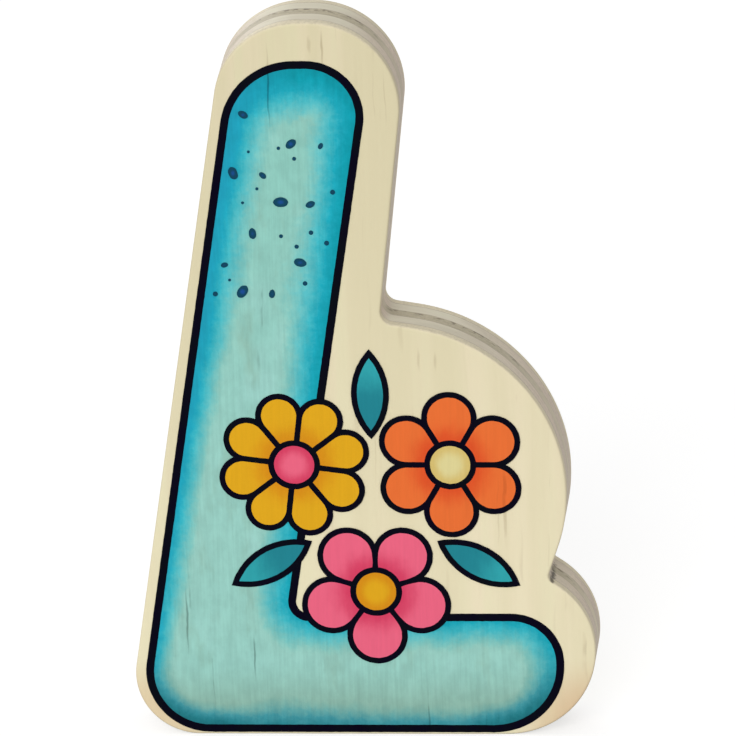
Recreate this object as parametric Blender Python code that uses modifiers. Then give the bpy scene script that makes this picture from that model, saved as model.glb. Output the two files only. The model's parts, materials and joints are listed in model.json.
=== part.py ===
"""A toy letter: a capital L cut from five-ply board, with a print on its front face.

Every piece is drawn flat: x runs along the foot, y up the stem and z out of the printed face. The heel of
the printed letter is at x = y = 0 and the back of the board at z = 0. An empty carries the pieces and stands
the letter on its base edge, with the printed face towards -Y and the middle of its base at the origin.
"""

import math

import bmesh
import bpy

# Printed letter, in metres, measured to the outside of its key line
LETTER_HEIGHT = 0.0847
STEM_WIDTH = 0.0169
FOOT_HEIGHT = 0.0152
LEAN = math.radians(9.3)
HEEL_ROUND = 0.0076
TOE_LOWER_ROUND = 0.0086
TOE_UPPER_ROUND = 0.0062
STEM_RIGHT_ROUND = 0.0068
STEM_LEFT_ROUND = 0.009
CROOK_ROUND = 0.0015
KEY_LINE = 0.00095

# Bare wood left between the printed letter and the edge of the board
SIDE_MARGIN = 0.0012
BASE_MARGIN = 0.0003
TOE_MARGIN = 0.0038
TOP_MARGIN = 0.0047
STEM_MARGIN = 0.0036
STEM_TAPER = math.radians(2.4)

# Corners of the board
HEEL_CORNER = 0.0076
TOE_LOWER_CORNER = 0.0108
TOE_UPPER_CORNER = 0.01
TOE_RISE = 0.0006
TOE_SLOPE = math.radians(34)
NOTCH_CORNER = 0.0009
SHOULDER_CORNER = 0.0016
STEM_RIGHT_CORNER = 0.0105
STEM_LEFT_CORNER = 0.0103
EASED_EDGE = 0.0003
EASED_STEPS = 2

# Veneers and glue, from the back of the board to its front
FACE_PLY = 0.0013
CROSS_BAND = 0.0021
CORE_PLY = 0.0018
GLUE_LINE = 0.0001

# Ink films, each printed on the one before
INK_FILM = 0.00006
INK_GAP = 0.00003

# Posy of three blossoms and three leaves, placed from the letter's crook
POSY_RUN = 0.0099
POSY_RISE = 0.0136
POSY_TURN = math.radians(30)
BLOSSOM_RADIUS = 0.0092
BLOSSOM_GAP = 0.0002
BLOSSOM_LINE = 0.0007
EYE_RADIUS = 0.0024
LEAF_GAP = 0.0006
LEAF_WIDTH = 0.0045

# Swell of the board round the posy, set off from its centre, and how far the toe runs out past it
SWELL_RUN = 0.002
SWELL_RISE = 0.0018
SWELL_MARGIN = 0.0011
SWELL_FALL = math.radians(9)
SWELL_TUCK = math.radians(19)
TOE_REACH = 0.003

# Speckles printed over the upper stem
SPECKLES = 12
SPECKLE_LENGTH = 0.0018
SPECKLE_WIDTH = 0.0012
SPECKLE_MARGIN = 0.0022
SPECKLE_DROP = 0.0045
SPECKLE_SPREAD = 0.026
SPECKLE_TURN = math.radians(55)
SMALLEST_SPECKLE = 0.4

# Fineness of the round stretches
ARC_STEP = math.radians(9)
INK_STEP = math.radians(22.5)
LEAF_STEP = math.radians(11)
SPECKLE_STEP = math.radians(45)
FLAT_ANGLE = math.radians(1)
SHARP_ANGLE = math.radians(30)
WELD = 0.000001

# Linear colours, and roughness, of each veneer and ink
FACE_WOOD = ((0.73, 0.665, 0.451), 0.6)
CROSS_WOOD = ((0.62, 0.56, 0.42), 0.7)
CORE_WOOD = ((0.42, 0.37, 0.27), 0.75)
GLUE = ((0.2, 0.15, 0.1), 0.5)
TURQUOISE = ((0.31, 0.57, 0.5), 0.45)
BLACK = ((0.004, 0.006, 0.014), 0.4)
NAVY = ((0.01, 0.08, 0.28), 0.45)
TEAL = ((0.03, 0.31, 0.38), 0.45)
GOLDEN = ((0.7, 0.35, 0.01), 0.45)
ORANGE = ((0.776, 0.138, 0.031), 0.45)
PINK = ((0.807, 0.112, 0.202), 0.45)
CREAM = ((0.7, 0.62, 0.28), 0.45)

# Blossoms counted round the posy: name, petal ink, eye ink, number of petals
BLOSSOMS = (
    ("orange_blossom", ORANGE, CREAM, 6),
    ("golden_blossom", GOLDEN, PINK, 8),
    ("pink_blossom", PINK, GOLDEN, 5),
)


def on_circle(centre, radius, angle):
    """The point of a circle at an angle from +x."""
    return (centre[0] + radius * math.cos(angle), centre[1] + radius * math.sin(angle))


def arc(centre, radius, start, end, step):
    """Points of an arc from one angle to another, both ends included."""
    count = max(2, math.ceil(abs(end - start) / step))
    return [on_circle(centre, radius, start + (end - start) * i / count) for i in range(count + 1)]


def tangent_arc(centre, radius, start, end, step):
    """Corners of even facets that touch an arc from outside, the end ones in line with the sides it joins."""
    count = max(2, math.ceil(abs(end - start) / step))
    turn = (end - start) / count
    reach = radius / math.cos(turn / 2)
    return [on_circle(centre, reach, start + turn * (i + 0.5)) for i in range(count)]


def ellipse(length, width, step):
    """Points round an ellipse about the origin."""
    unit = arc((0, 0), 1, 0, 2 * math.pi, step)[:-1]
    return [(x * length / 2, y * width / 2) for x, y in unit]


def placed(points, centre, angle):
    """The points turned about the origin and then moved to a centre."""
    c = math.cos(angle)
    s = math.sin(angle)
    return [(centre[0] + c * x - s * y, centre[1] + s * x + c * y) for x, y in points]


def meet(first, first_angle, second, second_angle):
    """The point where two lines cross, each given by a point and its direction."""
    run = (second[0] - first[0], second[1] - first[1])
    along = run[0] * math.sin(second_angle) - run[1] * math.cos(second_angle)
    along /= math.sin(second_angle - first_angle)
    return on_circle(first, along, first_angle)


def heading(start, end):
    """The direction from one point to another, as an angle from +x."""
    return math.atan2(end[1] - start[1], end[0] - start[0])


def inset(corners, distance):
    """Anticlockwise corners (x, y, radius) moved in from every side by a distance."""
    moved = []
    for i, (x, y, radius) in enumerate(corners):
        before = heading(corners[i - 1], (x, y))
        after = heading((x, y), corners[(i + 1) % len(corners)])
        turn = math.remainder(after - before, 2 * math.pi)
        on_before = (x - distance * math.sin(before), y + distance * math.cos(before))
        on_after = (x - distance * math.sin(after), y + distance * math.cos(after))
        fillet = max(radius - math.copysign(distance, turn), 0)
        moved.append((*meet(on_before, before, on_after, after), fillet))
    return moved


def filleted(corners):
    """The outline of anticlockwise corners (x, y, radius), each rounded as far as its sides allow."""
    count = len(corners)
    headings = [heading(corners[i], corners[(i + 1) % count]) for i in range(count)]
    sides = [math.dist(corners[i][:2], corners[(i + 1) % count][:2]) for i in range(count)]
    turns = [math.remainder(headings[i] - headings[i - 1], 2 * math.pi) for i in range(count)]
    wanted = [corners[i][2] * math.tan(abs(turns[i]) / 2) for i in range(count)]
    outline = []
    for i, (x, y, radius) in enumerate(corners):
        room_before = sides[i - 1] / max(sides[i - 1], wanted[i - 1] + wanted[i])
        room_after = sides[i] / max(sides[i], wanted[i] + wanted[(i + 1) % count])
        fit = min(room_before, room_after)
        start = on_circle((x, y), -wanted[i] * fit, headings[i - 1])
        inwards = headings[i - 1] + math.copysign(math.pi / 2, turns[i])
        centre = on_circle(start, radius * fit, inwards)
        outwards = inwards + math.pi
        outline += tangent_arc(centre, radius * fit, outwards, outwards + turns[i], ARC_STEP)
    return outline


def finish(name, look):
    """A material of the given (colour, roughness) pair."""
    colour, roughness = look
    material = bpy.data.materials.new(name)
    material.use_nodes = True
    shader = material.node_tree.nodes["Principled BSDF"]
    shader.inputs["Base Color"].default_value = (*colour, 1)
    shader.inputs["Roughness"].default_value = roughness
    shader.inputs["Metallic"].default_value = 0
    return material


def plate(name, outlines, level, thickness, look, place=(0, 0), angle=0):
    """A flat piece standing on a level: its first outline filled, the others cut out of it."""
    curve = bpy.data.curves.new(name, "CURVE")
    curve.dimensions = "2D"
    curve.fill_mode = "BOTH"
    curve.extrude = thickness / 2
    for outline in outlines:
        spline = curve.splines.new("POLY")
        spline.points.add(len(outline) - 1)
        spline.use_cyclic_u = True
        for point, (x, y) in zip(spline.points, outline):
            point.co = (x, y, 0, 1)
    curve.materials.append(finish(name + "_finish", look))
    piece = bpy.data.objects.new(name, curve)
    piece.location = (*place, level + thickness / 2)
    piece.rotation_euler = (0, 0, angle)
    piece.parent = stand
    letter.objects.link(piece)
    return piece


def as_mesh(piece):
    """The curve piece made a mesh with whole caps, in the same place and under the same name."""
    bpy.context.view_layer.update()
    graph = bpy.context.evaluated_depsgraph_get()
    mesh = bpy.data.meshes.new_from_object(piece.evaluated_get(graph))
    shape = bmesh.new()
    shape.from_mesh(mesh)
    bmesh.ops.remove_doubles(shape, verts=shape.verts, dist=WELD)
    bmesh.ops.dissolve_limit(shape, angle_limit=FLAT_ANGLE, verts=shape.verts, edges=shape.edges)
    shape.to_mesh(mesh)
    shape.free()
    name = piece.name
    solid = bpy.data.objects.new(name, mesh)
    solid.parent = stand
    solid.matrix_world = piece.matrix_world
    letter.objects.link(solid)
    bpy.data.objects.remove(piece)
    solid.name = name
    return solid


def eased_ply(name, outline, level, outward):
    """A face veneer whose outer arris, towards +z or -z, is rounded by a Bevel."""
    ply = as_mesh(plate(name, [outline], level, FACE_PLY, FACE_WOOD))
    mesh = ply.data
    weights = mesh.attributes.new("bevel_weight_edge", "FLOAT", "EDGE")
    for edge in mesh.edges:
        lowest = min(mesh.vertices[v].co.z * outward for v in edge.vertices)
        weights.data[edge.index].value = 1 if lowest > 0 else 0
    bevel = ply.modifiers.new("eased_arris", "BEVEL")
    bevel.limit_method = "WEIGHT"
    bevel.offset_type = "OFFSET"
    bevel.width = EASED_EDGE
    bevel.segments = EASED_STEPS
    mesh.shade_smooth()
    mesh.set_sharp_from_angle(angle=SHARP_ANGLE)
    return ply


def board_corners():
    """Corners of the board, from the printed letter and the swell round the posy."""
    base = -BASE_MARGIN
    top = LETTER_HEIGHT + TOP_MARGIN
    left = -SIDE_MARGIN / math.cos(LEAN)
    right = STEM_WIDTH + STEM_MARGIN + top * math.tan(LEAN)
    toe = letter_length + TOE_MARGIN
    instep = FOOT_HEIGHT + TOE_RISE
    upright = math.pi / 2
    top_normal = upright - SWELL_FALL
    side_normal = -SWELL_TUCK
    swell_top = on_circle(swell_centre, swell_radius, top_normal)
    swell_side = on_circle(swell_centre, swell_radius, side_normal)
    swell = meet(swell_top, top_normal + upright, swell_side, side_normal + upright)
    notch = meet((toe, instep), math.pi - TOE_SLOPE, swell_side, side_normal + upright)
    shoulder = meet((right, top), upright - LEAN + STEM_TAPER, swell_top, top_normal + upright)
    return [
        (left + base * math.tan(LEAN), base, HEEL_CORNER),
        (toe, base, TOE_LOWER_CORNER),
        (toe, instep, TOE_UPPER_CORNER),
        (*notch, NOTCH_CORNER),
        (*swell, swell_radius),
        (*shoulder, SHOULDER_CORNER),
        (right, top, STEM_RIGHT_CORNER),
        (left + top * math.tan(LEAN), top, STEM_LEFT_CORNER),
    ]


def letter_corners():
    """Corners of the printed letter, to the outside of its key line."""
    slant = LETTER_HEIGHT * math.tan(LEAN)
    return [
        (0, 0, HEEL_ROUND),
        (letter_length, 0, TOE_LOWER_ROUND),
        (letter_length, FOOT_HEIGHT, TOE_UPPER_ROUND),
        (*crook, CROOK_ROUND),
        (slant + STEM_WIDTH, LETTER_HEIGHT, STEM_RIGHT_ROUND),
        (slant, LETTER_HEIGHT, STEM_LEFT_ROUND),
    ]


def build_board():
    """Five veneers and the four glue lines between them. Returns the level of the printed face."""
    outline = filleted(board_corners())
    layers = (
        ("back_face_ply", FACE_PLY, FACE_WOOD),
        ("rear_outer_glue_line", GLUE_LINE, GLUE),
        ("rear_cross_band", CROSS_BAND, CROSS_WOOD),
        ("rear_inner_glue_line", GLUE_LINE, GLUE),
        ("core_ply", CORE_PLY, CORE_WOOD),
        ("front_inner_glue_line", GLUE_LINE, GLUE),
        ("front_cross_band", CROSS_BAND, CROSS_WOOD),
        ("front_outer_glue_line", GLUE_LINE, GLUE),
        ("front_face_ply", FACE_PLY, FACE_WOOD),
    )
    level = 0
    for name, thickness, look in layers:
        if name == "back_face_ply":
            eased_ply(name, outline, level, -1)
        elif name == "front_face_ply":
            eased_ply(name, outline, level, 1)
        else:
            plate(name, [outline], level, thickness, look)
        level += thickness
    return level


def build_letter_print(level):
    """The letter's black key line, and the turquoise ink inside it."""
    corners = letter_corners()
    window = filleted(inset(corners, KEY_LINE))
    plate("letter_outline", [filleted(corners), window], level, INK_FILM, BLACK)
    fill = filleted(inset(corners, KEY_LINE + INK_GAP))
    plate("letter_fill", [fill], level, INK_FILM, TURQUOISE)


def build_speckles(level):
    """Dots spread evenly over the upper stem by the plastic-number sequence, large to small."""
    plastic = 1.32471795724
    low = LETTER_HEIGHT - SPECKLE_DROP - SPECKLE_SPREAD
    for i in range(SPECKLES):
        across = (0.5 + i / plastic) % 1
        along = (0.5 + i / plastic**2) % 1
        size = 1 - (1 - SMALLEST_SPECKLE) * i / SPECKLES
        y = low + along * SPECKLE_SPREAD
        x = y * math.tan(LEAN) + SPECKLE_MARGIN + across * (STEM_WIDTH - 2 * SPECKLE_MARGIN)
        dot = ellipse(SPECKLE_LENGTH * size, SPECKLE_WIDTH * size, SPECKLE_STEP)
        plate(f"speckle_{i + 1}", [dot], level, INK_FILM, NAVY, (x, y), i * SPECKLE_TURN)


def petal_outline(petals, gap):
    """One petal along +x: a round end, straight sides and a hollow foot round the eye."""
    half = math.pi / petals
    side = BLOSSOM_LINE / 2 + gap
    tip = BLOSSOM_RADIUS - BLOSSOM_LINE - gap
    foot = EYE_RADIUS + BLOSSOM_LINE + gap
    reach = (tip + side) / (1 + math.sin(half))
    turn = math.pi / 2 + half
    edge = half - math.asin(side / foot)
    return arc((reach, 0), tip - reach, -turn, turn, INK_STEP) + arc((0, 0), foot, edge, -edge, INK_STEP)


def blossom_outline(petals):
    """The scalloped outside of a blossom: the round end of each petal, wider by the key line."""
    half = math.pi / petals
    tip = BLOSSOM_RADIUS - BLOSSOM_LINE
    reach = (tip + BLOSSOM_LINE / 2) / (1 + math.sin(half))
    beyond = math.sqrt((BLOSSOM_RADIUS - reach) ** 2 - (reach * math.sin(half)) ** 2)
    valley = reach * math.cos(half) + beyond
    turn = math.atan2(valley * math.sin(half), valley * math.cos(half) - reach)
    outline = []
    for i in range(petals):
        scallop = arc((reach, 0), BLOSSOM_RADIUS - reach, -turn, turn, INK_STEP)
        outline += placed(scallop[:-1], (0, 0), 2 * half * i)
    return outline


def build_blossom(name, petal_ink, eye_ink, petals, centre, angle, level):
    """One blossom: its key line with a window for each petal and for the eye, and their inks."""
    windows = [placed(petal_outline(petals, 0), (0, 0), 2 * math.pi * i / petals) for i in range(petals)]
    eye_window = ellipse(2 * EYE_RADIUS, 2 * EYE_RADIUS, INK_STEP)
    outlines = [blossom_outline(petals), *windows, eye_window]
    plate(name + "_outline", outlines, level, INK_FILM, BLACK, centre, angle)
    for i in range(petals):
        turned = angle + 2 * math.pi * i / petals
        petal = petal_outline(petals, INK_GAP)
        plate(f"{name}_petal_{i + 1}", [petal], level, INK_FILM, petal_ink, centre, turned)
    eye = ellipse(2 * (EYE_RADIUS - INK_GAP), 2 * (EYE_RADIUS - INK_GAP), INK_STEP)
    plate(name + "_eye", [eye], level, INK_FILM, eye_ink, centre, angle)


def leaf_outline(length, gap):
    """A leaf along x, pointed at both ends, drawn in from its edge by a gap."""
    curve = (length**2 + LEAF_WIDTH**2) / (4 * LEAF_WIDTH)
    offset = curve - LEAF_WIDTH / 2
    half = math.acos(offset / (curve - gap))
    upright = math.pi / 2
    lower = arc((0, offset), curve - gap, -upright - half, -upright + half, LEAF_STEP)
    upper = arc((0, -offset), curve - gap, upright - half, upright + half, LEAF_STEP)
    return lower[:-1] + upper[:-1]


def build_leaf(name, angle, level):
    """A leaf in the gap between two blossoms, from where the gap is wide enough to the posy's rim."""
    touching = posy_ring * math.cos(math.pi / len(BLOSSOMS))
    start = touching + math.sqrt(BLOSSOM_RADIUS**2 - (BLOSSOM_RADIUS - LEAF_GAP) ** 2)
    length = posy_reach - start
    place = on_circle(posy, start + length / 2, angle)
    outlines = [leaf_outline(length, 0), leaf_outline(length, BLOSSOM_LINE)]
    plate(name + "_outline", outlines, level, INK_FILM, BLACK, place, angle)
    blade = leaf_outline(length, BLOSSOM_LINE + INK_GAP)
    plate(name, [blade], level, INK_FILM, TEAL, place, angle)


def build_posy(level):
    """Three blossoms that touch in a ring, and a leaf between each two of them."""
    step = 2 * math.pi / len(BLOSSOMS)
    for i, (name, petal_ink, eye_ink, petals) in enumerate(BLOSSOMS):
        angle = POSY_TURN + step * i
        centre = on_circle(posy, posy_ring, angle)
        build_blossom(name, petal_ink, eye_ink, petals, centre, angle, level)
        build_leaf(f"leaf_{i + 1}", angle + step / 2, level)


# Places and sizes that follow from the driving dimensions
crook = (STEM_WIDTH + FOOT_HEIGHT * math.tan(LEAN), FOOT_HEIGHT)
posy = (crook[0] + POSY_RUN, crook[1] + POSY_RISE)
posy_ring = (BLOSSOM_RADIUS + BLOSSOM_GAP / 2) / math.sin(math.pi / len(BLOSSOMS))
posy_reach = posy_ring + BLOSSOM_RADIUS
swell_centre = (posy[0] + SWELL_RUN, posy[1] + SWELL_RISE)
swell_radius = posy_reach + SWELL_MARGIN
letter_length = swell_centre[0] + swell_radius + TOE_REACH - TOE_MARGIN
board_thickness = 2 * FACE_PLY + 2 * CROSS_BAND + CORE_PLY + 4 * GLUE_LINE

# An empty scene, a collection for the letter, and the empty that stands it up
for old in list(bpy.data.objects):
    bpy.data.objects.remove(old)
letter = bpy.data.collections.new("wooden_letter")
bpy.context.scene.collection.children.link(letter)
stand = bpy.data.objects.new("stand", None)
letter.objects.link(stand)
across = [x for x, y in filleted(board_corners())]
stand.location = (
    -(min(across) + max(across)) / 2,
    (board_thickness + 2 * INK_FILM) / 2,
    BASE_MARGIN,
)
stand.rotation_euler = (math.pi / 2, 0, 0)

face = build_board()
build_letter_print(face)
build_speckles(face + INK_FILM)
build_posy(face + INK_FILM)
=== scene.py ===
import json
import math
from collections import Counter
from typing import NamedTuple

import bmesh
import bpy
from mathutils import Matrix, Vector, kdtree, noise
from mathutils.geometry import delaunay_2d_cdt, interpolate_bezier


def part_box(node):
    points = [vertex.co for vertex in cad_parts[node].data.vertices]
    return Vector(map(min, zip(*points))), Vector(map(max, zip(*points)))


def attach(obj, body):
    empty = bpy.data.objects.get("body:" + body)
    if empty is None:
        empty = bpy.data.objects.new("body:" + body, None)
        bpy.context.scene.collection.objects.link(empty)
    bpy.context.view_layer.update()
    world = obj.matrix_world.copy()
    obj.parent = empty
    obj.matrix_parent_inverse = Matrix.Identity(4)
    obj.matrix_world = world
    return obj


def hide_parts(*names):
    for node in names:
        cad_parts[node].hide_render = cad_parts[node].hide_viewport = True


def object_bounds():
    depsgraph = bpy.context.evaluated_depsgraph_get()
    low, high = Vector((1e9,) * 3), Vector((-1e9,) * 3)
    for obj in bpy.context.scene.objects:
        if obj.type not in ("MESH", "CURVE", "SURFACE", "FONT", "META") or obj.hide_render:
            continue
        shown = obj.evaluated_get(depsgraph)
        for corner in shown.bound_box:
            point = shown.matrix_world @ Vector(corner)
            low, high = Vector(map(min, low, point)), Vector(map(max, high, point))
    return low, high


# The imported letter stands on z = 0, with its printed face towards -Y. Lengths are in metres.
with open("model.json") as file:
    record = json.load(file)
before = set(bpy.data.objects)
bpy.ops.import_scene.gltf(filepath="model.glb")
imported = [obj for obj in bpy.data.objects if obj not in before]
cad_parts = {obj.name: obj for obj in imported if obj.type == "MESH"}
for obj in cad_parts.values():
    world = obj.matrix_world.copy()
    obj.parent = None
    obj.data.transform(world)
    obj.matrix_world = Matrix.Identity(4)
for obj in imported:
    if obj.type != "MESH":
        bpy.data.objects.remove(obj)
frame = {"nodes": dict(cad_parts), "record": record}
cad_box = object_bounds()
slots = {part["node"]: part["material_slot"] for part in frame["record"]["subparts"]}


class Patches(NamedTuple):
    """Noise in patches of a size across and along a run, and the range of it that is spread to another."""

    across: float
    along: float
    detail: float = 2.0
    roughness: float = 0.5
    over: tuple = (0.0, 1.0)
    to: tuple = (0.0, 1.0)


# Camera: above the printed face and a little to its right, rolled by a degree or two
CAMERA_AZIMUTH = math.radians(5.3)
CAMERA_ELEVATION = math.radians(19.9)
CAMERA_ROLL = math.radians(-1.83)
CAMERA_DISTANCE = 1.4
CAMERA_AIM = Vector((0.001463, -0.0045, 0.046693))
FIELD_WIDTH = 0.08715
SENSOR_MM = 36

# Light: a soft key lamp and a weak back lamp, each by azimuth, elevation and level, and a surround
KEY_LAMP = (math.radians(-12), math.radians(22), 0.58)
BACK_LAMP = (math.radians(-150), math.radians(15), 0.25)
LAMP_DISTANCE = 2.2
LAMP_SIZE = 1.2
SURROUND_LEVEL = 0.58
FLOOR_SIZE = 6
FLOOR_COLOUR = 0.55
FLOOR_GLOW = 0.6
FLOOR_DROP = 0.00002
WHITE = (1, 1, 1, 1)

# Outlines: how they are read from the solids and made finer
WELD = 0.000001
FLAT_FACE = 0.99
SHARP_TURN = math.radians(60)
INWARD_TURN = math.radians(6)
UNLIKE_CHORDS = 1.7
BOARD_STEP = math.radians(2)
INK_STEP = math.radians(4)
BOARD_SPACING = 0.0015
SMOOTH_ANGLE = math.radians(35)

# Sanded arris of the face veneers
ARRIS_ROUND = 0.00028
ARRIS_WANDER = 0.25
ARRIS_CELL = 0.006
ARRIS_STEPS = 5
ARRIS_SUPPORT = 0.00015

# Wood grain, and how far it wanders and kinks
GRAIN_WANDER = 0.0018
GRAIN_KINK = 0.0005
WANDER = Patches(across=0.009, along=0.03)
KINKS = Patches(across=0.002, along=0.0035)
BANDS = Patches(across=0.0042, along=0.16, over=(0.3, 0.7))
HUES = Patches(across=0.0021, along=0.07, detail=1.0, over=(0.35, 0.65))
FIBRES = Patches(across=0.00035, along=0.009, detail=3.0, roughness=0.6)
STREAKS = Patches(across=0.001, along=0.013, detail=1.0, roughness=0.4, over=(0.64, 0.82), to=(0.0, 0.55))
HAIRS = Patches(across=0.00045, along=0.022, detail=0.0, over=(0.74, 0.9))
HAIR_BREAKS = Patches(across=0.003, along=0.005, over=(0.38, 0.6), to=(0.0, 0.6))

# End grain, whose growth layers are thin through the board
PORES = Patches(across=0.0003, along=0.004, roughness=0.6, over=(0.35, 0.75), to=(1.05, 0.88))
GROWTH = Patches(across=0.006, along=0.0003, detail=3.0, roughness=0.6, over=(0.3, 0.7), to=(1.08, 0.92))

# Single dark marks in the front veneer: the x, upper end and length of each
SINGLE_HAIRS = (
    (-0.0093, 0.0885, 0.0135),
    (-0.0028, 0.0895, 0.006),
    (-0.0212, 0.0205, 0.012),
    (-0.0132, 0.014, 0.008),
)
SINGLE_STREAKS = (
    (-0.0043, 0.0885, 0.003),
    (-0.0115, 0.0495, 0.0035),
    (0.0075, 0.0495, 0.0035),
    (0.0095, 0.049, 0.003),
)
SINGLE_HAIR_WIDTH = 0.0004
SINGLE_STREAK_WIDTH = 0.00055
MARK_DEPTH = 0.002
MARK_FADE = (0.2, 1.0)
MARK_STRENGTH = 0.8
MARK_EDGES = Patches(across=0.001, along=0.0025)

# Veneer: how much bands, streaks and hairs darken it, where walls and end grain begin, and its surface
BAND_SHARE = 0.7
DEEP_TONES = (0.25, 0.85)
STREAK_DEPTH = 0.34
HAIR_DEPTH = 0.6
WALL_FACING = (0.3, 0.9)
END_FACING = (0.25, 0.9)
FIBRE_RANGE = (0.2, 0.8)
WOOD_ROUGHNESS = (0.5, 0.68)
WOOD_SPECULAR = 0.25
WOOD_BUMP = 0.000025

# Drift of colour up the face veneers, and the peach low on the front of toe and heel
DRIFT_HEIGHTS = (0.0, 0.09)
PEACH_REACH = (0.004, 0.0105)
TOE_PEACH = 1.0
HEEL_PEACH = 0.7

# Painted shade in the notch's inner corner, which reaches much further through the board than up or across
NOTCH_SHADE_REACH = (0.0001, 0.0005)
NOTCH_SHADE_STRETCH = 10
NOTCH_SHADE_STRENGTH = 0.85
NOTCH_SHADE_EDGE = Patches(across=0.0006, along=0.0006, over=(0.2, 0.8), to=(-0.0002, 0.0002))

# Voids in the core, which thin out between two distances from a glue line, and their strength at each
VOIDS = Patches(across=0.0009, along=0.0005, roughness=0.6, over=(0.5, 0.62))
VOID_BAND = (0.0003, 0.001)
VOID_STRENGTH = (0.7, 0.1)

# Glue lines
GLUE_PATCHES = Patches(across=0.002, along=0.002, over=(0.35, 0.65))
GLUE_ROUGHNESS = 0.45
GLUE_SPECULAR = 0.4

# Print: colours run a little way under the black key lines, which creep unevenly into the wood
UNDERLAP = 0.00015
INK_SINK = 0.000015
INK_CREEP = 0.00003
CREEP_CELL = 0.0005
FILM_CELL = 0.0006

# Inks: how much of the veneer's grain shows through each, how the grain shades them, and their surface
LETTER_THINNESS = 1.0
SHADED_THINNESS = 0.5
DARK_THINNESS = 0.4
SHOWN_FIBRES = (0.25, 0.75)
FIBRE_LIGHT = 0.05
FIBRE_DARK = 0.06
STREAK_SHADE = 0.16
HAIR_SHADE = 0.5
INK_ROUGHNESS = (0.45, 0.58)
INK_SPECULAR = 0.06
KEY_SPECULAR = 0.02
INK_BUMP = 0.000012
KEY_DRIFT = Patches(across=0.003, along=0.006, detail=3.0, roughness=0.6, over=(0.3, 0.7))

# Airbrushed rim on each side of the letter: its width at the base, and what it gains up to the top
RIM_LEFT = (0.0024, 0.005)
RIM_RIGHT = (0.0048, 0.0022)
RIM_UPPER = (0.004, 0.0055)
RIM_LOWER = (0.0034, 0)
RIM_RISE = 1.7
RIM_PALE = 0.3

# Full-strength rim at two places on the base: how far in from the letter's ends, and how far it reaches
RIM_HEEL = 0.0047
RIM_TOE = 0.0034
RIM_FULL = 0.003
RIM_FADED = 0.0075

# Turquoise ink, by the share of the rim's width that is crossed and by height
RIM_DRIFT = Patches(across=0.008, along=0.012, over=(0.25, 0.75), to=(0.85, 1.2))
SPRAY = Patches(across=0.0009, along=0.0009, detail=3.0, roughness=0.7, over=(0.2, 0.8), to=(-0.07, 0.07))
CLOUDS = Patches(across=0.006, along=0.008, over=(0.5, 0.75), to=(0.0, 0.6))
BLOTS = Patches(across=0.003, along=0.008, detail=3.0, roughness=0.6, over=(0.5, 0.78), to=(0.0, 0.8))
MOTTLE = Patches(across=0.0016, along=0.0022, detail=3.0, roughness=0.6, over=(0.3, 0.7), to=(0.94, 1.05))
BLUE_SHARES = (0.1, 0.5)
BLUE_STRENGTH = 0.6
BODY_SHARES = (0.75, 1.05)
BASE_HEIGHTS = (0.004, 0.0125)
SAGE_HEIGHTS = (0.003, 0.0095)
UPPER_HEIGHTS = (0.03, 0.075)

# Speckles: how far inside one its ink turns blue
NAVY_DEPTHS = (0.00015, 0.0008)

# Fine speckles between the larger ones, placed and sized by the plastic number's even sequence
FINE_TRIES = 20
FINE_RADIUS = 0.0003
FINE_SPREAD = 0.5
FINE_CLEARANCE = 0.0015
FINE_MARGIN = 0.0012
FINE_SIDES = 16
PLASTIC = 1.32471795724

# Posy: how far out its inks are shaded, in radii of a blossom's eye, and for leaves from the posy's middle
EYE_SHADING = (0.2, 1.1)
PETAL_SHADING = (1.0, 2.8)
LEAF_SHADING = (0.012, 0.019)
AIRBRUSH = Patches(across=0.0012, along=0.002, detail=3.0, roughness=0.6, over=(0.2, 0.8), to=(-0.12, 0.12))

# Linear colours of the board
FACE_WOOD = ((0.755, 0.695, 0.475), (0.785, 0.695, 0.495), (0.725, 0.655, 0.445))
BAND_WOOD = ((0.72, 0.68, 0.53), (0.74, 0.68, 0.54), (0.63, 0.58, 0.45))
CORE_WOOD = ((0.69, 0.61, 0.45), (0.7, 0.61, 0.46), (0.58, 0.5, 0.37))
STREAK_WOOD = (0.38, 0.29, 0.17)
VOID_BROWN = (0.1, 0.075, 0.05)
# Colour of the painted shade in the notch's inner corner
NOTCH_SHADE_BROWN = (0.05, 0.04, 0.025)
FACE_END = (0.696, 0.622, 0.451)
BAND_END = (0.655, 0.552, 0.437)
CORE_END = (0.485, 0.43, 0.305)
GLUE_BROWN = (0.34, 0.28, 0.2)
GLUE_AMBER = (0.42, 0.34, 0.24)

# Tints that multiply the face veneers' colour: on their walls, at the base, at the top, and at toe and heel
FACE_SIDE = (0.95, 0.92, 0.95)
FACE_LOW = (1.08, 1.08, 1.075)
FACE_HIGH = (0.925, 0.92, 0.885)
PEACH = (0.97, 0.8, 0.72)

# Linear colours of the inks. The rim's are given by the share of its width that is crossed.
BLUE_TEAL = (0.02, 0.35, 0.53)
AQUA = (0.31, 0.6, 0.53)
UPPER_AQUA = (0.265, 0.565, 0.49)
PALE_AQUA = (0.35, 0.65, 0.59)
SAGE = (0.265, 0.47, 0.39)
RIM_COLOURS = (
    (0.0, (0.003, 0.28, 0.345)),
    (0.15, (0.004, 0.325, 0.405)),
    (0.3, (0.012, 0.38, 0.48)),
    (0.45, (0.048, 0.455, 0.525)),
    (0.6, (0.107, 0.503, 0.533)),
    (0.75, (0.188, 0.54, 0.515)),
    (1.0, (0.27, 0.57, 0.495)),
)
BASE_RIM_COLOURS = (
    (0.0, (0.012, 0.15, 0.185)),
    (0.15, (0.016, 0.19, 0.225)),
    (0.3, (0.027, 0.235, 0.28)),
    (0.45, (0.055, 0.3, 0.345)),
    (0.6, (0.12, 0.37, 0.365)),
    (0.75, (0.2, 0.43, 0.38)),
    (1.0, (0.255, 0.462, 0.386)),
)
BLUE_BLACK = (0.002, 0.001, 0.008)
GREEN_BLACK = (0.002, 0.003, 0.006)
NAVY = (0.012, 0.075, 0.32)
INK_TEAL = (0.005, 0.055, 0.1)
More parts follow.
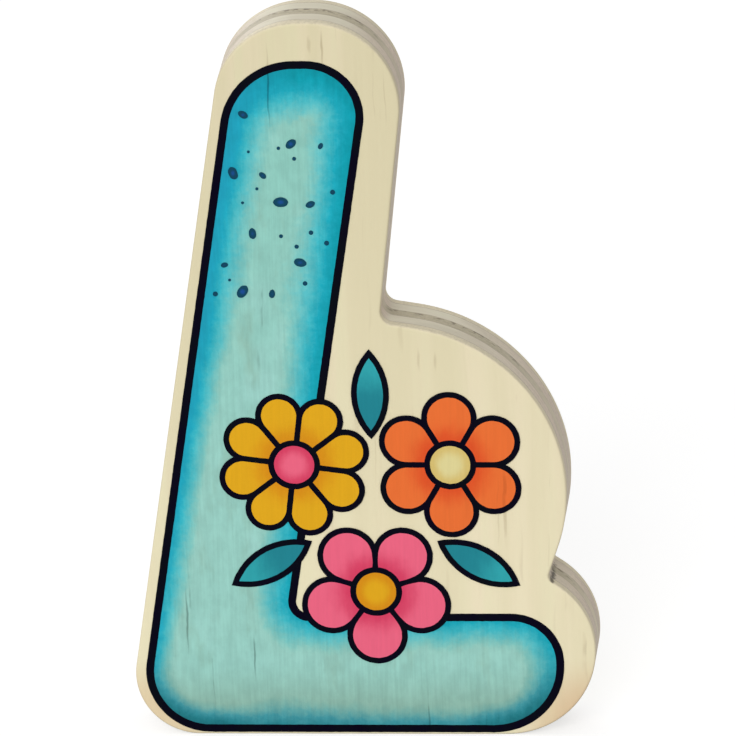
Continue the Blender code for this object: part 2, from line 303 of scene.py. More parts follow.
GOLDEN = (0.73, 0.38, 0.012)
AMBER = (0.66, 0.26, 0.008)
ORANGE = (0.8, 0.16, 0.035)
VERMILION = (0.72, 0.085, 0.02)
PINK = (0.82, 0.13, 0.22)
ROSE = (0.66, 0.05, 0.12)
CREAM = (0.72, 0.64, 0.3)
STRAW = (0.66, 0.5, 0.16)
LEAF_TEAL = (0.03, 0.36, 0.4)
LEAF_DEEP = (0.015, 0.22, 0.27)

# Blossoms: the inner and outer colour of the petals, and of the eye
BLOSSOMS = {
    "orange_blossom": ((VERMILION, ORANGE), (CREAM, STRAW)),
    "golden_blossom": ((AMBER, GOLDEN), (PINK, ROSE)),
    "pink_blossom": ((ROSE, PINK), (GOLDEN, AMBER)),
}


class Finish:
    """A Principled material. Each method from vector to bump adds nodes and returns an output socket."""

    # The Mix node's sockets for colours: the factor and both colours, and the result
    MIX_INPUTS = (0, 6, 7)
    MIX_OUTPUT = 2

    def __init__(self, name):
        self.material = bpy.data.materials.new(name)
        self.material.use_nodes = True
        self.tree = self.material.node_tree
        self.shader = self.tree.nodes["Principled BSDF"]
        coordinates = self.tree.nodes.new("ShaderNodeTexCoord")
        self.place = coordinates.outputs["Object"]
        self.normal = coordinates.outputs["Normal"]

    def feed(self, socket, value):
        """Links a socket to an input, or sets the input to a plain value."""
        if isinstance(value, bpy.types.NodeSocket):
            self.tree.links.new(value, socket)
        elif isinstance(value, tuple) and socket.type == "RGBA":
            socket.default_value = (*value, 1)
        else:
            socket.default_value = value

    def vector(self, operation, first, second, third=(0, 0, 0)):
        """A step of vector arithmetic."""
        node = self.tree.nodes.new("ShaderNodeVectorMath")
        node.operation = operation
        for socket, value in zip(node.inputs, (first, second, third)):
            self.feed(socket, value)
        return node.outputs["Value" if operation in ("DOT_PRODUCT", "DISTANCE") else "Vector"]

    def math(self, operation, first, second=0.0):
        """A step of arithmetic."""
        node = self.tree.nodes.new("ShaderNodeMath")
        node.operation = operation
        self.feed(node.inputs[0], first)
        self.feed(node.inputs[1], second)
        return node.outputs["Value"]

    def span(self, value, over=(0.0, 1.0), to=(0.0, 1.0)):
        """A smooth step between the ends of one range, as the value goes over another."""
        node = self.tree.nodes.new("ShaderNodeMapRange")
        node.interpolation_type = "SMOOTHSTEP"
        self.feed(node.inputs["Value"], value)
        for name, end in zip(("From Min", "From Max", "To Min", "To Max"), (*over, *to)):
            node.inputs[name].default_value = end
        return node.outputs["Result"]

    def mix(self, factor, first, second):
        """One colour turning into another."""
        node = self.tree.nodes.new("ShaderNodeMix")
        node.data_type = "RGBA"
        for i, value in zip(self.MIX_INPUTS, (factor, first, second)):
            self.feed(node.inputs[i], value)
        return node.outputs[self.MIX_OUTPUT]

    def ramp(self, value, stops):
        """A colour that passes through (place, colour) stops."""
        node = self.tree.nodes.new("ShaderNodeValToRGB")
        elements = node.color_ramp.elements
        while len(elements) < len(stops):
            elements.new(0)
        for element, (place, colour) in zip(elements, stops):
            element.position = place
            element.color = (*colour, 1)
        self.feed(node.inputs["Fac"], value)
        return node.outputs["Color"]

    def noise(self, patches, run="Z", at=None, output="Fac"):
        """Noise in patches that run along an axis, "X", "Y" or "Z": a value, or three as a colour."""
        frequency = tuple(1 / (patches.along if axis == run else patches.across) for axis in "XYZ")
        node = self.tree.nodes.new("ShaderNodeTexNoise")
        self.feed(node.inputs["Vector"], self.vector("MULTIPLY", at or self.place, frequency))
        node.inputs["Scale"].default_value = 1
        node.inputs["Detail"].default_value = patches.detail
        node.inputs["Roughness"].default_value = patches.roughness
        return node.outputs[output]

    def patchy(self, patches, run="Z", at=None):
        """The patches' noise, spread to their own range."""
        return self.span(self.noise(patches, run, at), patches.over, patches.to)

    def along(self, axis):
        """The place along an axis, "X", "Y" or "Z"."""
        return self.vector("DOT_PRODUCT", self.place, unit(axis))

    def facing(self, axis):
        """How squarely the surface faces along an axis, either way."""
        return self.math("ABSOLUTE", self.vector("DOT_PRODUCT", self.normal, unit(axis)))

    def away(self, middle, scale=(1.0, 1.0, 1.0), at=None):
        """The distance from a point, with each axis measured on its own scale."""
        scaled = tuple(part * stretch for part, stretch in zip(middle, scale))
        return self.vector("DISTANCE", self.vector("MULTIPLY", at or self.place, scale), scaled)

    def attribute(self, name):
        """A value that the mesh stores at its points."""
        node = self.tree.nodes.new("ShaderNodeAttribute")
        node.attribute_name = name
        return node.outputs["Fac"]

    def bump(self, height, distance):
        """A normal bent by a relief, whose height of 1 stands for a distance."""
        node = self.tree.nodes.new("ShaderNodeBump")
        node.inputs["Distance"].default_value = distance
        self.feed(node.inputs["Height"], height)
        return node.outputs["Normal"]

    def done(self, colour, roughness, specular, normal=None):
        """Sets the shader's inputs and returns the material."""
        self.feed(self.shader.inputs["Base Color"], colour)
        self.feed(self.shader.inputs["Roughness"], roughness)
        self.shader.inputs["Specular IOR Level"].default_value = specular
        if normal:
            self.feed(self.shader.inputs["Normal"], normal)
        return self.material


def unit(axis):
    """The unit vector of an axis, "X", "Y" or "Z"."""
    return tuple(float(letter == axis) for letter in "XYZ")


def marks(finish, places, width):
    """Single marks along the front veneer's grain, each a ragged spindle."""
    ragged = finish.noise(MARK_EDGES, output="Color")
    at = finish.vector("MULTIPLY_ADD", ragged, (width, 0.0, 0.0), finish.place)
    total = 0.0
    for x, top, length in places:
        middle = (x + width / 2, cad_box[0].y, top - length / 2)
        away = finish.away(middle, (2 / width, 1 / MARK_DEPTH, 2 / length), at)
        total = finish.math("MAXIMUM", total, finish.span(away, MARK_FADE, (MARK_STRENGTH, 0.0)))
    return total


def grain(finish, run):
    """Wood grain along an axis: broad bands, their hue, fine fibres, soft streaks and dark hairs."""
    wander = finish.noise(WANDER, run, output="Color")
    at = finish.vector("MULTIPLY_ADD", wander, (GRAIN_WANDER,) * 3, finish.place)
    kinks = finish.noise(KINKS, run, output="Color")
    kinked = finish.vector("MULTIPLY_ADD", kinks, (GRAIN_KINK,) * 3, at)
    bands = finish.patchy(BANDS, run, at)
    hues = finish.patchy(HUES, run, at)
    fibres = finish.noise(FIBRES, run, at)
    streaks = finish.patchy(STREAKS, run, kinked)
    hairs = finish.math("MULTIPLY", finish.patchy(HAIRS, run, kinked), finish.patchy(HAIR_BREAKS, run))
    if run == "Z":
        streaks = finish.math("MAXIMUM", streaks, marks(finish, SINGLE_STREAKS, SINGLE_STREAK_WIDTH))
        hairs = finish.math("MAXIMUM", hairs, marks(finish, SINGLE_HAIRS, SINGLE_HAIR_WIDTH))
    return bands, hues, fibres, streaks, hairs


def painted_notch_shade(finish, walls):
    """Painted shade in the notch's inner corner: a thin dark sliver on its walls, strongest in the front
    cross-band.
    """
    notch = lowest_inward_turn("front_face_ply")
    middle = (notch.x, centre("front_cross_band").y, notch.y)
    away = finish.away(middle, (1.0, 1 / NOTCH_SHADE_STRETCH, 1.0))
    ragged = finish.math("ADD", away, finish.patchy(NOTCH_SHADE_EDGE))
    return finish.math("MULTIPLY", walls, finish.span(ragged, NOTCH_SHADE_REACH, (NOTCH_SHADE_STRENGTH, 0.0)))


def drifted(finish, colour):
    """A face veneer's drift of colour: paler near the base, and peach low on the front of toe and heel."""
    tint = finish.mix(finish.span(finish.along("Z"), DRIFT_HEIGHTS), FACE_LOW, FACE_HIGH)
    for x, strength in ((cad_box[1].x, TOE_PEACH), (cad_box[0].x, HEEL_PEACH)):
        away = finish.away((x, cad_box[0].y, cad_box[0].z))
        tint = finish.mix(finish.span(away, PEACH_REACH, (strength, 0.0)), tint, PEACH)
    return finish.vector("MULTIPLY", colour, tint)


def end_grain(finish, run, colour):
    """The cut ends of the fibres: pores, and thin growth layers that follow the veneer."""
    shade = finish.math("MULTIPLY", finish.patchy(PORES, run), finish.patchy(GROWTH, "Y"))
    return finish.vector("MULTIPLY", colour, shade)


def voids(finish, level):
    """Small dark voids, most of them beside the glue line at a level through the board."""
    off = finish.math("ABSOLUTE", finish.math("SUBTRACT", finish.along("Y"), level))
    return finish.math("MULTIPLY", finish.patchy(VOIDS, "Y"), finish.span(off, VOID_BAND, VOID_STRENGTH))


def wood(name, colours, run, end_colour, side_shade=None, void_level=None):
    """Sanded veneer with its own colour on end grain. Its cut sides may have a shade, and its ends voids."""
    finish = Finish(name)
    cream, blush, deep = colours
    bands, hues, fibres, streaks, hairs = grain(finish, run)
    banded = finish.math("MULTIPLY", bands, BAND_SHARE)
    tone = finish.math("ADD", banded, finish.math("MULTIPLY", fibres, 1 - BAND_SHARE))
    colour = finish.mix(finish.span(tone, DEEP_TONES), finish.mix(hues, cream, blush), deep)
    for dark, depth in ((streaks, STREAK_DEPTH), (hairs, HAIR_DEPTH)):
        colour = finish.mix(finish.math("MULTIPLY", dark, depth), colour, STREAK_WOOD)
    walls = finish.span(finish.facing("Y"), WALL_FACING, (1.0, 0.0))
    if side_shade:
        colour = drifted(finish, colour)
        colour = finish.mix(walls, colour, finish.vector("MULTIPLY", colour, side_shade))
    ended = end_grain(finish, run, end_colour)
    if void_level is not None:
        ended = finish.mix(voids(finish, void_level), ended, VOID_BROWN)
    colour = finish.mix(finish.span(finish.facing(run), END_FACING), colour, ended)
    # Painted shade in the notch's inner corner, on the walls only
    colour = finish.mix(painted_notch_shade(finish, walls), colour, NOTCH_SHADE_BROWN)
    roughness = finish.span(fibres, FIBRE_RANGE, WOOD_ROUGHNESS)
    return finish.done(colour, roughness, WOOD_SPECULAR, finish.bump(fibres, WOOD_BUMP))


def glue():
    """Cured glue between two veneers."""
    finish = Finish("cured_glue")
    colour = finish.mix(finish.patchy(GLUE_PATCHES), GLUE_BROWN, GLUE_AMBER)
    return finish.done(colour, GLUE_ROUGHNESS, GLUE_SPECULAR)


def printed(finish, colour, thin, specular=INK_SPECULAR):
    """Ink on wood. The thinner it is, the more the veneer's grain shades it."""
    _, _, fibres, streaks, hairs = grain(finish, "Z")
    shade = finish.span(fibres, SHOWN_FIBRES, (1.0 + FIBRE_LIGHT * thin, 1.0 - FIBRE_DARK * thin))
    for dark, depth in ((streaks, STREAK_SHADE), (hairs, HAIR_SHADE)):
        shade = finish.math("MULTIPLY", shade, finish.span(dark, to=(1.0, 1.0 - depth * thin)))
    colour = finish.vector("MULTIPLY", colour, shade)
    roughness = finish.span(fibres, FIBRE_RANGE, INK_ROUGHNESS)
    return finish.done(colour, roughness, specular, finish.bump(fibres, INK_BUMP))


def rim_colour(finish, share):
    """The letter's rim, airbrushed to teal at its key line, bluer on the left and greyer at the base."""
    rim = finish.ramp(share, RIM_COLOURS)
    blue = finish.span(share, BLUE_SHARES, (BLUE_STRENGTH, 0.0))
    rim = finish.mix(finish.math("MULTIPLY", finish.attribute("left"), blue), rim, BLUE_TEAL)
    base = finish.span(finish.along("Z"), BASE_HEIGHTS, (1.0, 0.0))
    return finish.mix(base, rim, finish.ramp(share, BASE_RIM_COLOURS))


def body_colour(finish):
    """The letter inside its rim: aqua, deeper higher up, with pale clouds and sage blots and a sage base."""
    body = finish.mix(finish.span(finish.along("Z"), UPPER_HEIGHTS), AQUA, UPPER_AQUA)
    body = finish.mix(finish.patchy(CLOUDS), body, PALE_AQUA)
    base = finish.span(finish.along("Z"), SAGE_HEIGHTS, (1.0, 0.0))
    return finish.mix(finish.math("MAXIMUM", finish.patchy(BLOTS), base), body, SAGE)


def turquoise():
    """The letter's ink, from its sprayed rim to its body."""
    finish = Finish("turquoise_ink")
    drifting = finish.math("MULTIPLY", finish.attribute("share"), finish.patchy(RIM_DRIFT))
    share = finish.math("ADD", drifting, finish.patchy(SPRAY))
    colour = finish.mix(finish.span(share, BODY_SHARES), rim_colour(finish, share), body_colour(finish))
    return printed(finish, finish.vector("MULTIPLY", colour, finish.patchy(MOTTLE)), LETTER_THINNESS)


def key_ink():
    """The key lines' ink: black with a drift between blue and green."""
    finish = Finish("black_ink")
    colour = finish.mix(finish.patchy(KEY_DRIFT), BLUE_BLACK, GREEN_BLACK)
    return printed(finish, colour, DARK_THINNESS, KEY_SPECULAR)


def speckle_ink(speckles):
    """The speckles' ink: dark teal, and blue in the middle of the larger ones."""
    finish = Finish("navy_ink")
    inside = 0.0
    for speckle in speckles:
        low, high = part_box(speckle)
        half = (high - low) / 2
        away = finish.away(centre(speckle), (1 / half.x, 0.0, 1 / half.z))
        inside = finish.math("MAXIMUM", inside, finish.span(away, to=(min(half.x, half.z), 0.0)))
    colour = finish.mix(finish.span(inside, NAVY_DEPTHS), INK_TEAL, NAVY)
    return printed(finish, colour, DARK_THINNESS)


def shaded_ink(name, colours, middle, reach):
    """An ink airbrushed from an inner colour round a middle to an outer one."""
    finish = Finish(name)
    inner, outer = colours
    share = finish.math("ADD", finish.span(finish.away(middle), reach), finish.patchy(AIRBRUSH))
    return printed(finish, finish.mix(finish.span(share), inner, outer), SHADED_THINNESS)


def centre(node):
    """The middle of a node's box."""
    low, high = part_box(node)
    return (low + high) / 2


def area(outline):
    """The signed area inside a closed outline, positive where it runs anticlockwise."""
    return sum(a.x * b.y - b.x * a.y for a, b in zip(outline, outline[1:] + outline[:1])) / 2


def flat_outlines(node):
    """Closed anticlockwise outlines (x, z) of a node's wider flat face, the outer one first."""
    shape = bmesh.new()
    shape.from_mesh(frame["nodes"][node].data)
    bmesh.ops.remove_doubles(shape, verts=shape.verts, dist=WELD)
    shape.normal_update()
    sides = [[face for face in shape.faces if face.normal.y * side > FLAT_FACE] for side in (-1, 1)]
    cap = max(sides, key=lambda faces: sum(face.calc_area() for face in faces))
    uses = Counter(edge for face in cap for edge in face.edges)
    # A dict keeps the rim's edges in order, so that an outline starts at the same point each time
    rim = dict.fromkeys(edge for edge, count in uses.items() if count == 1)
    outlines = []
    while rim:
        edge, _ = rim.popitem()
        vert = edge.verts[0]
        outline = []
        while edge:
            outline.append(Vector((vert.co.x, vert.co.z)))
            vert = edge.other_vert(vert)
            edge = next((other for other in vert.link_edges if other in rim), None)
            rim.pop(edge, None)
        outlines.append(outline if area(outline) > 0 else outline[::-1])
    shape.free()
    return sorted(outlines, key=area, reverse=True)


def lowest_inward_turn(node):
    """The lowest point where a node's outline bends inwards: the notch between the swell and the toe."""
    outline = flat_outlines(node)[0]
    inward = []
    for i, point in enumerate(outline):
        before = point - outline[i - 1]
        after = outline[(i + 1) % len(outline)] - point
        if before.angle_signed(after) > INWARD_TURN:
            inward.append(point)
    return min(inward, key=lambda point: point.y)


def refined(outline, step):
    """The outline with its sharp corners kept, and the chords between them bent into arcs."""
    count = len(outline)
    chords = [outline[(i + 1) % count] - outline[i] for i in range(count)]
    leave = [None] * count
    arrive = [None] * count
    for i in range(count):
        turn = -chords[i - 1].angle_signed(chords[i])
        if abs(turn) < SHARP_TURN:
            before = chords[i - 1].length
            after = chords[i].length
            # Two like chords share their turn, and a much longer one is straight and takes none of it
            share = 0.5
            if before > after * UNLIKE_CHORDS:
                share = 0
            elif after > before * UNLIKE_CHORDS:
                share = 1
            arrive[i - 1] = turn * share
            leave[i] = turn * (share - 1)
    fine = []
    for i in range(count):
        out = leave[i] if leave[i] is not None else -(arrive[i] or 0)
        back = arrive[i] if arrive[i] is not None else -out
        bend = (abs(out) + abs(back)) / 2
        handle = chords[i] / (3 * math.cos(bend / 2) ** 2)
        start = outline[i]
        end = outline[(i + 1) % count]
        pieces = max(1, math.ceil(2 * bend / step))
        first = start + Matrix.Rotation(out, 2) @ handle
        second = end - Matrix.Rotation(back, 2) @ handle
        curve = interpolate_bezier(start, first, second, end, pieces + 1)
        fine += [point.to_2d() for point in curve[:-1]]
    return fine


def rounded(outline, step):
    """The outline with an arc at each corner, which touches the middle of the shorter side there."""
    fine = []
    for i, corner in enumerate(outline):
        before = outline[i - 1] - corner
        after = outline[(i + 1) % len(outline)] - corner
        turn = math.pi - before.angle(after)
        reach = min(before.length, after.length) / 2
        pull = 2 / 3 * (1 - math.tan(turn / 4) ** 2)
        start = corner + before.normalized() * reach
        end = corner + after.normalized() * reach
        first = start.lerp(corner, pull)
        second = end.lerp(corner, pull)
        pieces = max(1, math.ceil(turn / step))
        curve = interpolate_bezier(start, first, second, end, pieces + 1)
        fine += [point.to_2d() for point in curve]
    return [point for i, point in enumerate(fine) if (point - fine[i - 1]).length > WELD]


def fine_outlines(node, step):
    """A node's outlines, made finer. Facets of the board and the letter touch their arcs from outside."""
    outside = node.startswith("letter") or node.endswith(("ply", "band", "glue_line"))
    finer = rounded if outside else refined
    return [finer(outline, step) for outline in flat_outlines(node)]


def spaced(outline, longest):
    """The outline with its long straight chords cut into shorter ones."""
    points = []
    for start, end in zip(outline, outline[1:] + outline[:1]):
        pieces = max(1, math.ceil((end - start).length / longest))
        points += [start.lerp(end, i / pieces) for i in range(pieces)]
    return points


def mitres(outline):
    """The outward vector at each point of an anticlockwise outline that moves its sides by 1."""
    vectors = []
    for i, point in enumerate(outline):
        before = (point - outline[i - 1]).normalized()
        after = (outline[(i + 1) % len(outline)] - point).normalized()
        first = Vector((before.y, -before.x))
        second = Vector((after.y, -after.x))
        vectors.append((first + second) / (1 + first.dot(second)))
    return vectors


def grown(outline, distance):
    """The outline moved outwards by a distance."""
    return [point + mitre * distance for point, mitre in zip(outline, mitres(outline))]


def crept(outline, y):
    """An ink's outline after it has crept unevenly into the wood."""
    points = spaced(outline, CREEP_CELL)
    moved = []
    for point, push in zip(points, mitres(points)):
        creep = noise.noise(Vector((point.x, y, point.y)) / CREEP_CELL)
        moved.append(point + push * INK_CREEP * creep)
    return moved


def crossings(outline, z):
    """Where a level line enters and leaves an outline, from left to right."""
    places = []
    for start, end in zip(outline, outline[1:] + outline[:1]):
        if (start.y > z) != (end.y > z):
            places.append(start.lerp(end, (z - start.y) / (end.y - start.y)).x)
    return sorted(places)


def ring(shape, outline, y):
    """New points along an outline (x, z) at a level through the board."""
    return [shape.verts.new((point.x, y, point.y)) for point in outline]


def stacked(shape, rings):
    """Closed skin over a stack of rings: a wall between each two, and a face at both ends."""
    for first, second in zip(rings, rings[1:]):
        for i in range(len(first)):
            shape.faces.new((first[i - 1], first[i], second[i], second[i - 1]))
    shape.faces.new(rings[0])
    shape.faces.new(rings[-1])


def thicken(shape, sheet, thickness):
    """Makes a closed plate of a flat sheet of faces."""
    made = bmesh.ops.extrude_face_region(shape, geom=sheet, use_keep_orig=True)["geom"]
    moved = [part for part in made if isinstance(part, bmesh.types.BMVert)]
    bmesh.ops.translate(shape, verts=moved, vec=(0, thickness, 0))


def slab(shape, outlines, front, back):
    """A closed plate between two levels: the first outline filled, the others cut out of it."""
    edges = []
    for outline in outlines:
        verts = ring(shape, outline, front)
        edges += [shape.edges.new((verts[i - 1], verts[i])) for i in range(len(verts))]
    faces = bmesh.ops.triangle_fill(shape, use_beauty=True, use_dissolve=False, edges=edges)["geom"]
    thicken(shape, [part for part in faces if isinstance(part, bmesh.types.BMFace)], back - front)


def dressed(shape, name, material, node=None):
    """Makes a shape a piece of the letter, which stands for a node if one is given."""
    bmesh.ops.recalc_face_normals(shape, faces=shape.faces)
    mesh = bpy.data.meshes.new(name)
    shape.to_mesh(mesh)
    shape.free()
    mesh.materials.append(material)
    mesh.shade_smooth()
    mesh.set_sharp_from_angle(angle=SMOOTH_ANGLE)
    piece = bpy.data.objects.new(name, mesh)
    bpy.context.scene.collection.objects.link(piece)
    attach(piece, "root")
    if node:
        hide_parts(node)


def board_outline(node):
    """The outline of a layer of the board, fine enough for its wandering arris."""
    return spaced(fine_outlines(node, BOARD_STEP)[0], BOARD_SPACING)


def layer(node, material):
    """A veneer or glue line inside the board, with a finer outline."""
    low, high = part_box(node)
    outline = board_outline(node)
    shape = bmesh.new()
    stacked(shape, [ring(shape, outline, low.y), ring(shape, outline, high.y)])
    dressed(shape, "sawn_" + node, material, node)


def face_veneer(node, material, outward):
    """A face veneer whose outer arris is sanded round by hand, so its radius wanders."""
    low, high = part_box(node)
    outer = low.y if outward < 0 else high.y
    inner = high.y if outward < 0 else low.y
    outline = board_outline(node)
    pushes = mitres(outline)
    rounds = []
    for point in outline:
        wander = noise.noise(Vector((point.x, outer, point.y)) / ARRIS_CELL)
        rounds.append(ARRIS_ROUND * (1 + ARRIS_WANDER * wander))
    shape = bmesh.new()
    rings = [ring(shape, outline, inner)]
    for step in range(ARRIS_STEPS + 1):
        angle = math.pi / 2 * step / ARRIS_STEPS
        verts = []
        for point, push, radius in zip(outline, pushes, rounds):
            place = point - push * radius * (1 - math.cos(angle))
            y = outer - outward * radius * (1 - math.sin(angle))
            verts.append(shape.verts.new((place.x, y, place.y)))
        rings.append(verts)
    inside = []
    for point, push, radius in zip(outline, pushes, rounds):
        inside.append(point - push * (radius + ARRIS_SUPPORT))
    rings.append(ring(shape, inside, outer))
    stacked(shape, rings)
    dressed(shape, "sanded_" + node, material, node)


def key_line(node, material):
    """A dark line or dot, printed last."""
    low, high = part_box(node)
    shape = bmesh.new()
    slab(shape, [crept(outline, low.y) for outline in fine_outlines(node, INK_STEP)], low.y, high.y)
    dressed(shape, "printed_" + node, material, node)


def island(node, material):
    """A patch of one colour that runs a little way under the key line round it."""
    low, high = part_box(node)
    outline = grown(fine_outlines(node, INK_STEP)[0], UNDERLAP)
    shape = bmesh.new()
    slab(shape, [outline], low.y + INK_SINK, high.y)
    dressed(shape, "printed_" + node, material, node)


def nearest_finder(outline):
    """A tree that finds the nearest point of an outline."""
    tree = kdtree.KDTree(len(outline))
    for i, point in enumerate(outline):
        tree.insert(point.to_3d(), i)
    tree.balance()
    return tree


def film_rows(outline, finder, bottom, top):
    """Points in rows inside an outline, apart from those that crowd its own points."""
    points = []
    for row in range(math.ceil((top - bottom) / FILM_CELL)):
        z = bottom + FILM_CELL * (row + 0.5)
        places = crossings(outline, z)
        for left, right in zip(places[::2], places[1::2]):
            columns = round((right - left) / FILM_CELL)
            for i in range(columns):
                point = Vector((left + (right - left) * (i + 0.5) / columns, z))
                if finder.find(point.to_3d())[2] > FILM_CELL / 2:
                    points.append(point)
    return points


def rim_share(point, depth, normal, low, high):
    """How much of the airbrushed rim is crossed at a depth inside the letter, from 0 to 1 and beyond."""
    side = RIM_RIGHT if normal.x > 0 else RIM_LEFT
    level = RIM_UPPER if normal.y > 0 else RIM_LOWER
    width, growth = (x * normal.x**2 + z * normal.y**2 for x, z in zip(side, level))
    rise = max(point.y - low.z, 0) / (high.z - low.z)
    corners = (Vector((low.x + RIM_HEEL, low.z)), Vector((high.x - RIM_TOE, low.z)))
    away = min((point - corner).length for corner in corners)
    faded = min(max((away - RIM_FULL) / (RIM_FADED - RIM_FULL), 0), 1)
    start = RIM_PALE * (1 - rise) * faded
    return start + (1 - start) * depth / (width + growth * rise**RIM_RISE)


def letter_ink(material):
    """The turquoise film. Each point stores its share of the rim, and how squarely that faces left."""
    node = "letter_fill"
    low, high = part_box(node)
    front = low.y + INK_SINK
    outline = spaced(fine_outlines(node, BOARD_STEP)[0], FILM_CELL)
    finder = nearest_finder(outline)
    normals = [push.normalized() for push in mitres(outline)]
    count = len(outline)
    sides = [(i, (i + 1) % count) for i in range(count)]
    points = grown(outline, UNDERLAP) + film_rows(outline, finder, low.z, high.z)
    points, _, triangles, *_ = delaunay_2d_cdt(points, sides, [], 1, WELD)
    shape = bmesh.new()
    share = shape.verts.layers.float.new("share")
    left = shape.verts.layers.float.new("left")
    verts = ring(shape, points, front)
    for vert, point in zip(verts, points):
        _, nearest, depth = finder.find(point.to_3d())
        vert[share] = rim_share(point, depth, normals[nearest], low, high)
        vert[left] = max(-normals[nearest].x, 0)
    sheet = [shape.faces.new([verts[i] for i in triangle]) for triangle in triangles]
    thicken(shape, sheet, high.y - front)
    dressed(shape, "printed_" + node, material, node)


def fine_speckles(larger, material):
    """Small dots scattered between the larger speckles, over the same stretch of the stem."""
    middles = [centre(node) for node in larger]
    low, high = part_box(larger[0])
    bottom = min(middle.z for middle in middles)
    top = max(middle.z for middle in middles)
    stem = flat_outlines("letter_fill")[0]
    turns = [math.tau * side / FINE_SIDES for side in range(FINE_SIDES)]
    shape = bmesh.new()
    for i in range(FINE_TRIES):
        z = bottom + (top - bottom) * (i / PLASTIC % 1)
        left, right = crossings(stem, z)
        x = left + FINE_MARGIN + (right - left - 2 * FINE_MARGIN) * (i / PLASTIC**2 % 1)
        place = Vector((x, middles[0].y, z))
        if min((place - middle).length for middle in middles) > FINE_CLEARANCE:
            radius = FINE_RADIUS * (1 - FINE_SPREAD * (i / PLASTIC**3 % 1))
            dot = [Vector((x + radius * math.cos(turn), z + radius * math.sin(turn))) for turn in turns]
            slab(shape, [dot], low.y, high.y)
    dressed(shape, "fine_speckles", material)


def build_board():
    """The five veneers and the glue between them."""
    face = wood("face_veneer", FACE_WOOD, "Z", FACE_END, side_shade=FACE_SIDE)
    band = wood("cross_band_veneer", BAND_WOOD, "X", BAND_END)
    core = wood("core_veneer", CORE_WOOD, "Z", CORE_END, void_level=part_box("core_ply")[1].y)
    line = glue()
    face_veneer("front_face_ply", face, -1)
    face_veneer("back_face_ply", face, 1)
    layer("front_cross_band", band)
    layer("rear_cross_band", band)
    layer("core_ply", core)
    for side in ("rear_outer", "rear_inner", "front_inner", "front_outer"):
        layer(side + "_glue_line", line)


def build_letter():
    """The printed letter, its speckles, and all the black key lines."""
    letter_ink(turquoise())
    speckles = [node for node in slots if node.startswith("speckle")]
    navy = speckle_ink(speckles)
    fine_speckles(speckles, navy)
    for speckle in speckles:
        key_line(speckle, navy)
    black = key_ink()
    for node in slots:
        if node.endswith("outline"):
            key_line(node, black)


def build_blossom(blossom, petal_colours, eye_colours):
    """A blossom's eye and petals, shaded by their distance from the middle of the eye."""
    eye = blossom + "_eye"
    low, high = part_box(eye)
    radius = (high.x - low.x) / 2
    eye_reach = [share * radius for share in EYE_SHADING]
    petal_reach = [share * radius for share in PETAL_SHADING]
    island(eye, shaded_ink(eye + "_ink", eye_colours, centre(eye), eye_reach))
    petal_ink = shaded_ink(blossom + "_ink", petal_colours, centre(eye), petal_reach)
    for node in slots:
        if node.startswith(blossom + "_petal"):
            island(node, petal_ink)


def build_posy():
    """The coloured inks of the blossoms and of the leaves round them."""
    eyes = [centre(blossom + "_eye") for blossom in BLOSSOMS]
    middle = sum(eyes, Vector()) / len(eyes)
    leaf = shaded_ink("leaf_ink", (LEAF_DEEP, LEAF_TEAL), middle, LEAF_SHADING)
    for node in slots:
        if node.startswith("leaf") and not node.endswith("outline"):
            island(node, leaf)
    for blossom, (petal_colours, eye_colours) in BLOSSOMS.items():
        build_blossom(blossom, petal_colours, eye_colours)


def direction(azimuth, elevation):
    """The unit vector from the letter towards a point in front of it, turned right and up."""
    flat = math.cos(elevation)
    return Vector((math.sin(azimuth) * flat, -math.cos(azimuth) * flat, math.sin(elevation)))


def build_camera():
    """A camera that looks at the letter from its direction, rolled about its line of sight."""
    back = direction(CAMERA_AZIMUTH, CAMERA_ELEVATION)
    level = Vector((math.cos(CAMERA_AZIMUTH), math.sin(CAMERA_AZIMUTH), 0))
    upright = back.cross(level)
    right = level * math.cos(CAMERA_ROLL) + upright * math.sin(CAMERA_ROLL)
    axes = Matrix((right, back.cross(right), back)).transposed()
    data = bpy.data.cameras.new("camera")
    data.sensor_width = SENSOR_MM
    data.lens = SENSOR_MM * CAMERA_DISTANCE / FIELD_WIDTH
    camera = bpy.data.objects.new("camera", data)
    camera.matrix_world = Matrix.Translation(CAMERA_AIM + back * CAMERA_DISTANCE) @ axes.to_4x4()
    bpy.context.scene.collection.objects.link(camera)
    bpy.context.scene.camera = camera


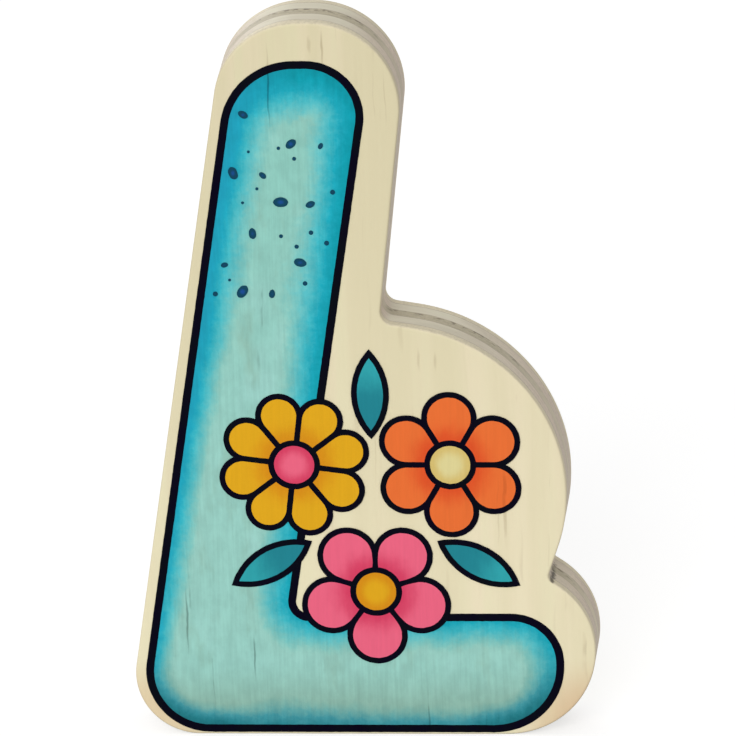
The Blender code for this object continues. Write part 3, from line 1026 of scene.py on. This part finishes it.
def softbox(name, azimuth, elevation, level):
    """A square lamp that faces the letter. At level 1, it alone would light a white card to white."""
    towards = direction(azimuth, elevation)
    data = bpy.data.lights.new(name, "AREA")
    data.shape = "SQUARE"
    data.size = LAMP_SIZE
    data.energy = level * math.pi**2 * LAMP_DISTANCE**2
    lamp = bpy.data.objects.new(name, data)
    lamp.location = (cad_box[0] + cad_box[1]) / 2 + towards * LAMP_DISTANCE
    lamp.rotation_euler = towards.to_track_quat("Z", "Y").to_euler()
    bpy.context.scene.collection.objects.link(lamp)


def direct_rays(tree):
    """A socket that is 1 for camera, glossy and transmission rays, and 0 for the rest."""
    rays = tree.nodes.new("ShaderNodeLightPath")
    total = rays.outputs["Is Camera Ray"]
    for name in ("Is Glossy Ray", "Is Transmission Ray"):
        node = tree.nodes.new("ShaderNodeMath")
        node.operation = "MAXIMUM"
        tree.links.new(total, node.inputs[0])
        tree.links.new(rays.outputs[name], node.inputs[1])
        total = node.outputs["Value"]
    return total


def build_light():
    """Two softboxes, and a surround that is white to the eye and dimmer as a light."""
    softbox("key", *KEY_LAMP)
    softbox("back", *BACK_LAMP)
    world = bpy.data.worlds.new("surround")
    world.use_nodes = True
    bpy.context.scene.world = world
    tree = world.node_tree
    level = tree.nodes.new("ShaderNodeMapRange")
    tree.links.new(direct_rays(tree), level.inputs["Value"])
    level.inputs["To Min"].default_value = SURROUND_LEVEL
    level.inputs["To Max"].default_value = 1
    background = tree.nodes["Background"]
    background.inputs["Color"].default_value = WHITE
    tree.links.new(level.outputs["Result"], background.inputs["Strength"])


def build_floor():
    """A pale floor that reads white and keeps the letter's shadow."""
    shape = bmesh.new()
    bmesh.ops.create_grid(shape, x_segments=1, y_segments=1, size=FLOOR_SIZE / 2)
    mesh = bpy.data.meshes.new("floor")
    shape.to_mesh(mesh)
    shape.free()
    floor = bpy.data.objects.new("floor", mesh)
    floor.location.z = cad_box[0].z - FLOOR_DROP
    bpy.context.scene.collection.objects.link(floor)
    finish = Finish("floor")
    glow = finish.math("MULTIPLY", direct_rays(finish.tree), FLOOR_GLOW)
    finish.feed(finish.shader.inputs["Emission Strength"], glow)
    finish.shader.inputs["Emission Color"].default_value = WHITE
    mesh.materials.append(finish.done((FLOOR_COLOUR,) * 3, roughness=1, specular=0))


build_board()
build_letter()
build_posy()
build_camera()
build_light()
build_floor()
bpy.context.scene.view_settings.view_transform = "Standard"
